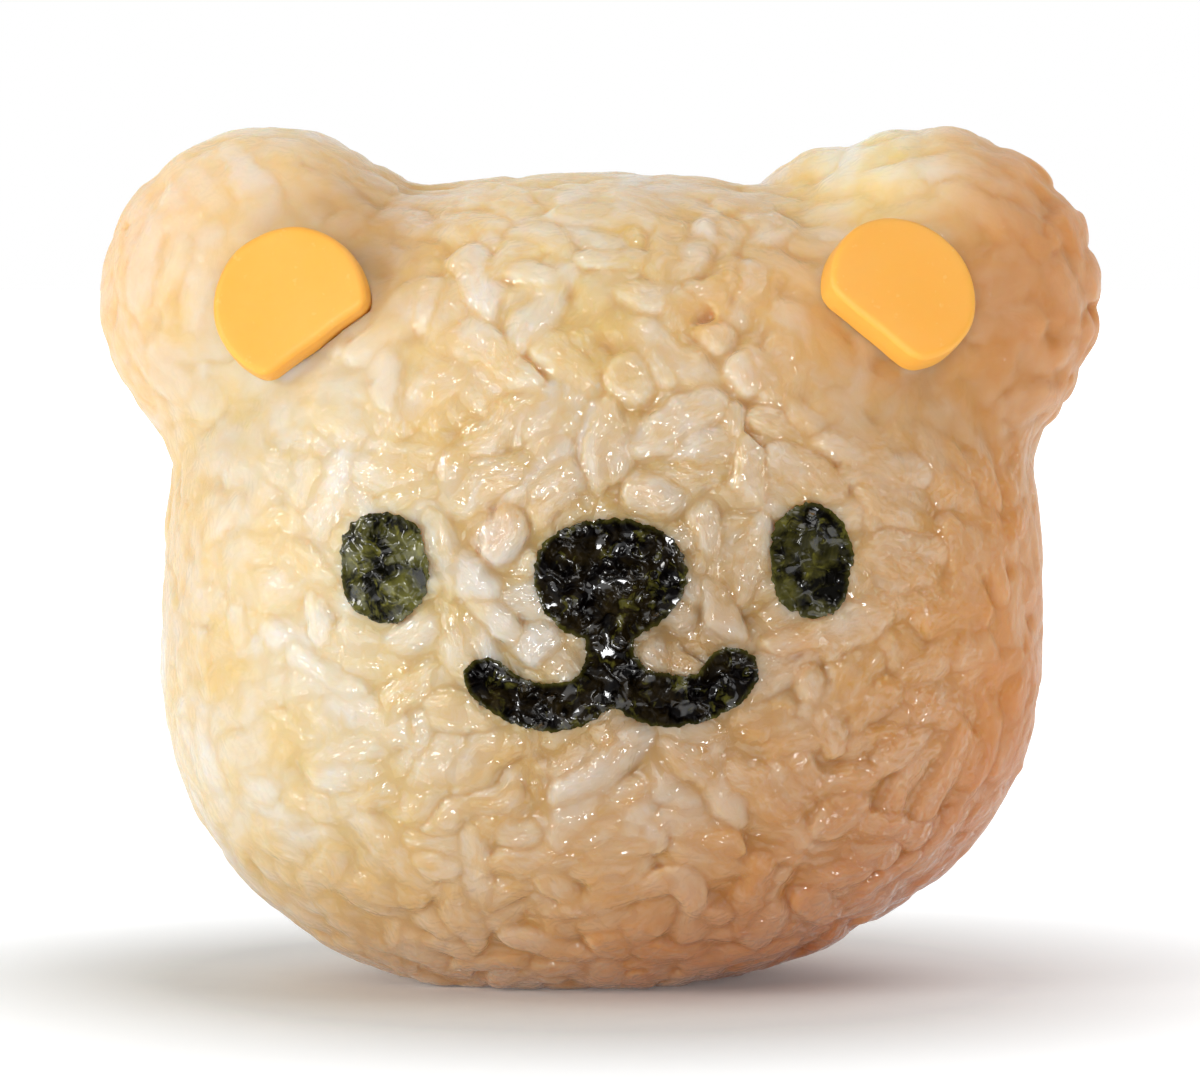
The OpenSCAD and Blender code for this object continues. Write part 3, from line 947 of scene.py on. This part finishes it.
# -------------------------------------------------------------- the slices
def build_slice(side, node):
    c, ax, ay, an = SLICES[side]
    cut = SLICE_CUT[side]
    n = 160
    # outline: disc with one straight cut, its corners rounded, walked by angle
    ang = np.linspace(0, 2 * math.pi, n, endpoint=False)
    r_corner = 0.55

    def outline(inset):
        """Points at a distance inside the outline, from a rounded distance field."""
        lo, hi = np.zeros(n), np.full(n, SLICE_R + 1)
        o = np.array([0.0, (SLICE_R - cut) / 2])
        dx, dy = np.cos(ang), np.sin(ang)
        for _ in range(30):
            mid = (lo + hi) / 2
            u, v = o[0] + dx * mid, o[1] + dy * mid
            a = np.hypot(u, v) - (SLICE_R - r_corner)
            b = -v - (cut - r_corner)
            d = np.hypot(np.maximum(a, 0), np.maximum(b, 0)) + np.minimum(np.maximum(a, b), 0) - r_corner
            out = d > -inset
            hi = np.where(out, mid, hi)
            lo = np.where(out, lo, mid)
        r = (lo + hi) / 2
        return np.stack([o[0] + dx * r, o[1] + dy * r], 1)

    bevel, t = 0.50, SLICE_T
    prof = [(bevel, 0.0)]
    for k in range(1, 5):
        a = math.pi / 2 * k / 4
        prof.append((bevel * (1 - math.sin(a)), bevel * (1 - math.cos(a)) * 0.7))
    for k in range(1, 6):
        prof.append((0.0 + 0.03 * math.sin(k * 1.7), bevel * 0.7 + (t - bevel * 1.7) * k / 5))
    for k in range(1, 6):
        a = math.pi / 2 * k / 5
        prof.append((bevel * (1 - math.cos(a)), t - bevel + bevel * math.sin(a)))
    rings, zs = [], []
    for inset, z in prof:
        rings.append(outline(inset))
        zs.append(np.full(n, z))
    o = np.array([0.0, (SLICE_R - cut) / 2])
    face = rings[-1]
    steps = 14
    for k in range(1, steps):
        f = 1 - k / steps
        rings.append(o + (face - o) * f)
        zs.append(np.full(n, t))
    back = rings[0]
    pre, prez = [], []
    for k in range(6, 0, -1):
        pre.append(o + (back - o) * (1 - k / 7))
        prez.append(np.zeros(n))
    rings, zs = pre + rings, prez + zs
    P = np.concatenate(rings)
    Z = np.concatenate(zs)
    m = len(rings)
    P = np.vstack([P, o, o])
    Z = np.append(Z, [0.0, t])
    world = c + P[:, :1] * ax + P[:, 1:] * ay + Z[:, None] * an
    # a slice is never quite flat: it sags a little over the crease it lies on
    bow = -0.10 * (P[:, 1] / SLICE_R) ** 2 + 0.03 * smooth_noise(world, 9.0, 8)
    world = world + an * bow[:, None]
    world = world + (ax * (0.03 * smooth_noise(world, 4.2, 10))[:, None]) + (ay * (0.03 * smooth_noise(world, 4.0, 12))[:, None])
    i = np.arange(m - 1)[:, None] * n + np.arange(n)[None]
    j = np.arange(m - 1)[:, None] * n + (np.arange(n)[None] + 1) % n
    quads = np.stack([i, j, j + n, i + n], -1).reshape(-1, 4)
    me_faces = [tuple(q) for q in quads.tolist()]
    lowc, topc = len(P) - 2, len(P) - 1
    for k in range(n):
        me_faces.append((lowc, (k + 1) % n, k))
        me_faces.append((topc, (m - 1) * n + k, (m - 1) * n + (k + 1) % n))
    me = bpy.data.meshes.new("slice_" + side)
    me.from_pydata((world * MM).tolist(), [], me_faces)
    me.update()
    me.validate()
    me.polygons.foreach_set("use_smooth", np.ones(len(me.polygons), bool))
    ob = bpy.data.objects.new("inner_ear_slice_%s_cheese" % side, me)
    bpy.context.scene.collection.objects.link(ob)
    me.materials.append(CHEESE)
    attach(ob, "root")
    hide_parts(node)
    return ob


for side in ("left", "right"):
    build_slice(side, "inner_ear_slice_" + side)
say("slices made")


# ------------------------------------------------------------- the seaweed
def front_tree():
    me = rice.data
    co = np.empty(len(me.vertices) * 3, np.float32)
    me.vertices.foreach_get("co", co)
    co = co.reshape(-1, 3) / MM
    tris = np.empty(len(me.polygons) * 3, np.int32)
    me.polygons.foreach_get("vertices", tris)
    tris = tris.reshape(-1, 3)
    tris = tris[co[tris[:, 0], 1] < -12]
    used, inverse = np.unique(tris, return_inverse=True)
    return BVHTree.FromPolygons([Vector(c) for c in co[used].tolist()], inverse.reshape(-1, 3).tolist())


FRONT = front_tree()


def rice_depth(px, py):
    """Distance along the sight lines to the rice."""
    d = sight(px, py)
    start = EYE + d * 400
    out = np.full(d.shape[:-1], 60.0)
    flat_o = out.reshape(-1)
    for k, (a, b) in enumerate(zip(start.reshape(-1, 3), d.reshape(-1, 3))):
        hit = FRONT.ray_cast(Vector(a), Vector(b), 60)
        if hit[0] is not None:
            flat_o[k] = hit[3]
    return out


def blur(a, r):
    """Gaussian blur of a grid, r in cells."""
    k = np.exp(-0.5 * (np.arange(-int(3 * r), int(3 * r) + 1) / r) ** 2)
    k /= k.sum()
    pad = int(3 * r)
    a = np.pad(a, pad, mode="edge")
    a = np.apply_along_axis(lambda v: np.convolve(v, k, "valid"), 0, a)
    return np.apply_along_axis(lambda v: np.convolve(v, k, "valid"), 1, a)


def ragged(points, amount, seed, step=1.7):
    """Walks a closed outline at even steps and roughens it like a punched, damp edge."""
    rng = np.random.default_rng(seed)
    p = np.asarray(points, float)
    q = np.vstack([p, p[:1]])
    seg = np.linalg.norm(np.diff(q, axis=0), axis=1)
    s = np.concatenate([[0], np.cumsum(seg)])
    n = int(s[-1] / step)
    w = np.linspace(0, s[-1], n, endpoint=False)
    x, y = np.interp(w, s, q[:, 0]), np.interp(w, s, q[:, 1])
    t = np.stack([np.roll(x, -2) - np.roll(x, 2), np.roll(y, -2) - np.roll(y, 2)], 1)
    t /= np.maximum(np.linalg.norm(t, axis=1, keepdims=True), 1e-6)
    nrm = np.stack([t[:, 1], -t[:, 0]], 1)
    teeth = int(s[-1] / 3.4)
    spot = (np.arange(teeth + 1) + rng.uniform(-0.35, 0.35, teeth + 1)) * s[-1] / teeth
    size = rng.normal(0, 1, teeth + 1)
    size[-1], spot[0], spot[-1] = size[0], 0, s[-1]
    rough = np.interp(w, spot, size) * 0.9 + rng.normal(0, 0.25, n)
    wave = np.zeros(n)
    for k in range(4, 12):
        wave += rng.normal(0, 1) * np.sin(2 * math.pi * k * w / s[-1] + rng.uniform(0, 6.28)) / k
    off = amount * (0.55 * np.clip(rough, -2, 2) + 0.8 * wave)
    return np.stack([x, y], 1) + nrm * off[:, None]


def closed_curve(points, n=260):
    """A smooth closed curve through given points."""
    p = np.asarray(points, float)
    m = len(p)
    t = np.linspace(0, m, n, endpoint=False)
    i = np.floor(t).astype(int)
    f = (t - i)[:, None]
    a, b, c, d = p[(i - 1) % m], p[i % m], p[(i + 1) % m], p[(i + 2) % m]
    return 0.5 * (2 * b + (c - a) * f + (2 * a - 5 * b + 4 * c - d) * f ** 2 + (3 * b - a - 3 * c + d) * f ** 3)


def facets(p, spacing, tilt, seed, sharp):
    """Height of a crumpled sheet: flat facets at random tilts that meet in creases."""
    rng = np.random.default_rng(seed)
    lo, hi = p.min(0) - 2 * spacing, p.max(0) + 2 * spacing
    n = np.ceil((hi - lo) / spacing).astype(int)
    g = np.stack(np.meshgrid(np.arange(n[0]), np.arange(n[1]), indexing="ij"), -1).astype(float)
    g = lo + (g + rng.uniform(0.05, 0.95, g.shape)) * spacing
    slope = rng.normal(0, tilt, g.shape)
    slope[..., 1] += 0.35 * tilt  # most of them look upwards, with short steps between
    high = rng.normal(0, 0.25 * tilt * spacing, g.shape[:2])
    cell = np.floor((p - lo) / spacing).astype(int)
    dist, value = [], []
    for i in (-2, -1, 0, 1, 2):
        for j in (-2, -1, 0, 1, 2):
            a, b = np.clip(cell[:, 0] + i, 0, n[0] - 1), np.clip(cell[:, 1] + j, 0, n[1] - 1)
            d = p - g[a, b]
            dist.append((d * d).sum(1))
            value.append((d * slope[a, b]).sum(1) + high[a, b])
    dist, value = np.array(dist), np.array(value)
    w = np.exp(-(dist - dist.min(0)) / (2 * spacing * sharp))
    return (w * value).sum(0) / w.sum(0)


def build_nori(name, node, outline, seed, olive_and_sheen, creases, rough=2.0):
    edge = ragged(closed_curve(outline), rough, seed)
    lo, hi = edge.min(0) - 14, edge.max(0) + 14
    cell = 2.0
    gx, gy = np.arange(lo[0], hi[0], cell), np.arange(lo[1], hi[1], cell)
    X, Y = np.meshgrid(gx, gy, indexing="ij")
    depth = rice_depth(X, Y)
    soft = blur(depth, 0.55 * PX_MM / cell)
    # the sheet bridges the creases and is pressed into them a little
    rest = np.minimum(soft * 0.72 + blur(depth, 0.2 * PX_MM / cell) * 0.28, depth + 0.02) - 0.30
    say(name, "drape")
    rng = np.random.default_rng(seed)
    step = 1.5
    ix = np.arange(edge[:, 0].min(), edge[:, 0].max(), step)
    iy = np.arange(edge[:, 1].min(), edge[:, 1].max(), step)
    pts = np.stack(np.meshgrid(ix, iy, indexing="ij"), -1).reshape(-1, 2)
    pts = pts + rng.uniform(-0.35, 0.35, pts.shape)
    # inside test, and not too near the edge
    inside = np.zeros(len(pts), bool)
    dist = np.full(len(pts), 1e9)
    x0, y0 = edge[:, 0], edge[:, 1]
    x1, y1 = np.roll(x0, -1), np.roll(y0, -1)
    for a in range(0, len(pts), 4000):
        q = pts[a:a + 4000]
        cross = (y0[None] > q[:, 1:]) != (y1[None] > q[:, 1:])
        den = np.where(y1 == y0, 1e-9, y1 - y0)
        xi = x0[None] + (q[:, 1:] - y0[None]) * ((x1 - x0) / den)[None]
        inside[a:a + 4000] = (cross & (q[:, :1] < xi)).sum(1) % 2 == 1
        ex, ey = x1 - x0, y1 - y0
        tt = np.clip(((q[:, :1] - x0) * ex + (q[:, 1:] - y0) * ey) / np.maximum(ex * ex + ey * ey, 1e-9), 0, 1)
        dist[a:a + 4000] = np.hypot(q[:, :1] - x0 - tt * ex, q[:, 1:] - y0 - tt * ey).min(1)
    keep = inside & (dist > 0.8)
    inner, inner_d = pts[keep], dist[keep]
    allp = np.vstack([edge, inner])
    rim = np.concatenate([np.ones(len(edge)), np.clip(1 - inner_d / 5.0, 0, 1)])
    ne = len(edge)
    vs, es, fs, ov, _, _ = delaunay_2d_cdt([Vector(p) for p in allp], [(k, (k + 1) % ne) for k in range(ne)], [], 1, 1e-4)
    co2 = np.array([v[:] for v in vs])
    src = np.array([o[0] if o else 0 for o in ov])
    rimv = rim[src]
    tris = np.array([f[:] for f in fs])
    # which corners of the new mesh lie on the outline
    fx = np.clip((co2[:, 0] - gx[0]) / cell, 0, len(gx) - 1.001)
    fy = np.clip((co2[:, 1] - gy[0]) / cell, 0, len(gy) - 1.001)
    i, j = fx.astype(int), fy.astype(int)
    u, v = fx - i, fy - j
    z = (rest[i, j] * (1 - u) * (1 - v) + rest[i + 1, j] * u * (1 - v) + rest[i, j + 1] * (1 - u) * v + rest[i + 1, j + 1] * u * v)
    crumple = sum(facets(co2, wide, tilt, seed + 1 + k, 0.6 - 0.1 * k) for k, (wide, tilt) in enumerate(creases))
    z = z - np.clip(crumple / PX_MM, -0.20, 0.5) * (1 - 0.25 * rimv)
    d = sight(co2[:, 0], co2[:, 1])
    top = EYE + d * (400 + z)[:, None]
    under = EYE + d * (400 + z + 0.26)[:, None]
    nv = len(top)
    # border edges: used once
    e = np.concatenate([tris[:, [0, 1]], tris[:, [1, 2]], tris[:, [2, 0]]])
    srt = np.sort(e, 1)
    code = srt[:, 0] * nv + srt[:, 1]
    uniq, idx, cnt = np.unique(code, return_index=True, return_counts=True)
    border = e[idx[cnt == 1]]
    faces = [tuple(t) for t in tris.tolist()] + [tuple(t[::-1] + nv) for t in tris]
    faces += [(int(b), int(a), int(a + nv), int(b + nv)) for a, b in border]
    co = np.vstack([top, under])
    me = bpy.data.meshes.new(name)
    me.from_pydata((co * MM).tolist(), [], [tuple(int(k) for k in f) for f in faces])
    me.update()
    me.validate()
    # the front must face the camera
    me.calc_loop_triangles()
    nrm = np.array([p.normal[:] for p in me.polygons[:len(tris)]])
    if nrm[:, 1].mean() > 0:
        me.flip_normals()
    me.polygons.foreach_set("use_smooth", np.ones(len(me.polygons), bool))
    put_float(me, "rim", np.concatenate([rimv, rimv]))
    put_float(me, "olive_and_sheen", np.full(2 * nv, olive_and_sheen))
    ob = bpy.data.objects.new(name, me)
    bpy.context.scene.collection.objects.link(ob)
    me.materials.append(NORI[node])
    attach(ob, "root")
    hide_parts(node)
    say(name, len(me.polygons), "faces")
    return ob


LEFT_EYE = [(372, 514), (395, 514), (414, 524), (424, 545), (428, 570), (426, 592), (418, 608), (404, 620), (386, 624),
            (368, 618), (354, 610), (344, 592), (341, 566), (343, 540), (352, 522)]
RIGHT_EYE = [(806, 503), (826, 508), (842, 520), (850, 538), (854, 560), (849, 580), (846, 598), (834, 612), (814, 618),
             (796, 613), (780, 602), (774, 584), (770, 556), (774, 532), (785, 514)]
NOSE_MOUTH = [(610, 519), (637, 522), (662, 531), (680, 548), (687, 570), (684, 592), (672, 612), (655, 626), (636, 638),
              (633, 650), (638, 661), (652, 671), (673, 674), (695, 673), (709, 658), (724, 648), (742, 649), (755, 658),
              (758, 674), (752, 692), (736, 706), (712, 719), (684, 726), (660, 727), (638, 720), (616, 709), (602, 713),
              (586, 724), (566, 730), (545, 732), (520, 726), (496, 716), (480, 704), (468, 690), (464, 674), (472, 662),
              (488, 657), (503, 664), (514, 674), (532, 683), (554, 684), (570, 681), (582, 668), (585, 652), (583, 639),
              (562, 630), (545, 612), (536, 590), (535, 566), (544, 544), (560, 530), (584, 521)]
build_nori("nori_eye_left_sheet", "nori_eye_left", LEFT_EYE, 71, 1.0, [(22, 0.34), (11, 0.42)])
build_nori("nori_eye_right_sheet", "nori_eye_right", RIGHT_EYE, 72, 0.45, [(30, 0.26), (14, 0.24)])
build_nori("nori_nose_and_mouth_sheet", "nori_nose_and_mouth", NOSE_MOUTH, 73, 0.0, [(19, 0.36), (9, 0.48)])


# --------------------------------------------------------- floor and light
def stage_material():
    m, nt, p = new_material("studio_paper")
    n = Nodes(nt)
    place = n.place()
    c = n.mix(n.ramp(n.noise(place, 300, 3.0), 0.3, 0.7), (0.86, 0.89, 0.92), (0.88, 0.91, 0.94))
    n.link(c, p.inputs["Base Color"])
    n.link(n.bump(n.noise(place, 900, 2.0), 0.1, 0.00005), p.inputs["Normal"])
    p.inputs["Roughness"].default_value = 0.8
    # painted light: the paper glows, least round the object and more further out, and a little more towards the back of
    # the studio
    split = n.new("ShaderNodeSeparateXYZ")
    n.link(place, split.inputs[0])
    away = n.new("ShaderNodeVectorMath", operation="LENGTH")
    n.link(place, away.inputs[0])
    glow = n.math("ADD", n.ramp(away.outputs["Value"], 0.030, 0.062, 0.06, 0.42), n.ramp(split.outputs["Y"], 0.0, 0.60, 0.0, 0.12))
    glow = n.math("ADD", glow, n.ramp(away.outputs["Value"], 0.030, 0.050, 0.0, 0.12))
    n.link(glow, p.inputs["Emission Strength"])
    p.inputs["Emission Color"].default_value = (0.97, 0.985, 1.0, 1)
    return m


def build_stage():
    """A wide pale floor, laid as a fine enough grid to shade evenly."""
    n, half = 24, 4.0
    g = np.linspace(-half, half, n + 1)
    co = np.stack(np.broadcast_arrays(g[:, None], g[None, :], np.zeros((1, 1))), -1).reshape(-1, 3) / MM
    i = np.arange(n)[:, None] * (n + 1) + np.arange(n)[None]
    ob = make_mesh("studio_floor", co, np.stack([i, i + n + 1, i + n + 2, i + 1], -1).reshape(-1, 4))
    ob.data.materials.append(stage_material())
    return ob


build_stage()


def soft_sun(name, towards, spread, strength, colour=(1, 1, 1)):
    """A wide, distant softbox that stands in the direction given."""
    lamp = bpy.data.lights.new(name, "SUN")
    lamp.angle = math.radians(spread)
    lamp.energy = strength
    lamp.color = colour
    ob = bpy.data.objects.new(name, lamp)
    bpy.context.scene.collection.objects.link(ob)
    ob.rotation_euler = Vector(towards).to_track_quat("Z", "Y").to_euler()
    return ob


soft_sun("key", (-0.88, -0.46, 0.24), 24, 1.50, (1.0, 0.985, 0.96))
soft_sun("top", (0.50, -0.20, 1.0), 50, 0.95, (1.0, 0.98, 0.95))
soft_sun("front", (-0.12, -0.97, 0.10), 15, 1.22, (0.97, 0.98, 1.0))
world = bpy.data.worlds.new("studio")
bpy.context.scene.world = world
world.use_nodes = True
wn = Nodes(world.node_tree)
split = wn.new("ShaderNodeSeparateXYZ")
wn.link(wn.new("ShaderNodeTexCoord").outputs["Generated"], split.inputs[0])
# the pale room is brighter behind the object than in front of it
behind = wn.ramp(split.outputs["Y"], 0.20, 0.80)
bg = world.node_tree.nodes["Background"]
wn.link(wn.mix(behind, (0.15, 0.14, 0.13), (1.0, 1.0, 1.0)), bg.inputs[0])
bg.inputs[1].default_value = 1.0

cam_data = bpy.data.cameras.new("camera")
cam = bpy.data.objects.new("camera", cam_data)
bpy.context.scene.collection.objects.link(cam)
cam_data.sensor_width = 36.0
cam_data.lens = 36.0 * VIEW_DIST / (1200 / PX_MM)
cam_data.clip_start, cam_data.clip_end = 0.01, 20
cam.location = EYE * MM
cam.rotation_mode = "XYZ"
cam.rotation_euler = (math.pi / 2 - VIEW_EL, 0, 0)
scene = bpy.context.scene
scene.camera = cam
scene.view_settings.view_transform = "Standard"
scene.view_settings.look = "None"
scene.view_settings.exposure = 0.0
scene.cycles.use_denoising = True

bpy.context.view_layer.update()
say("before finish")
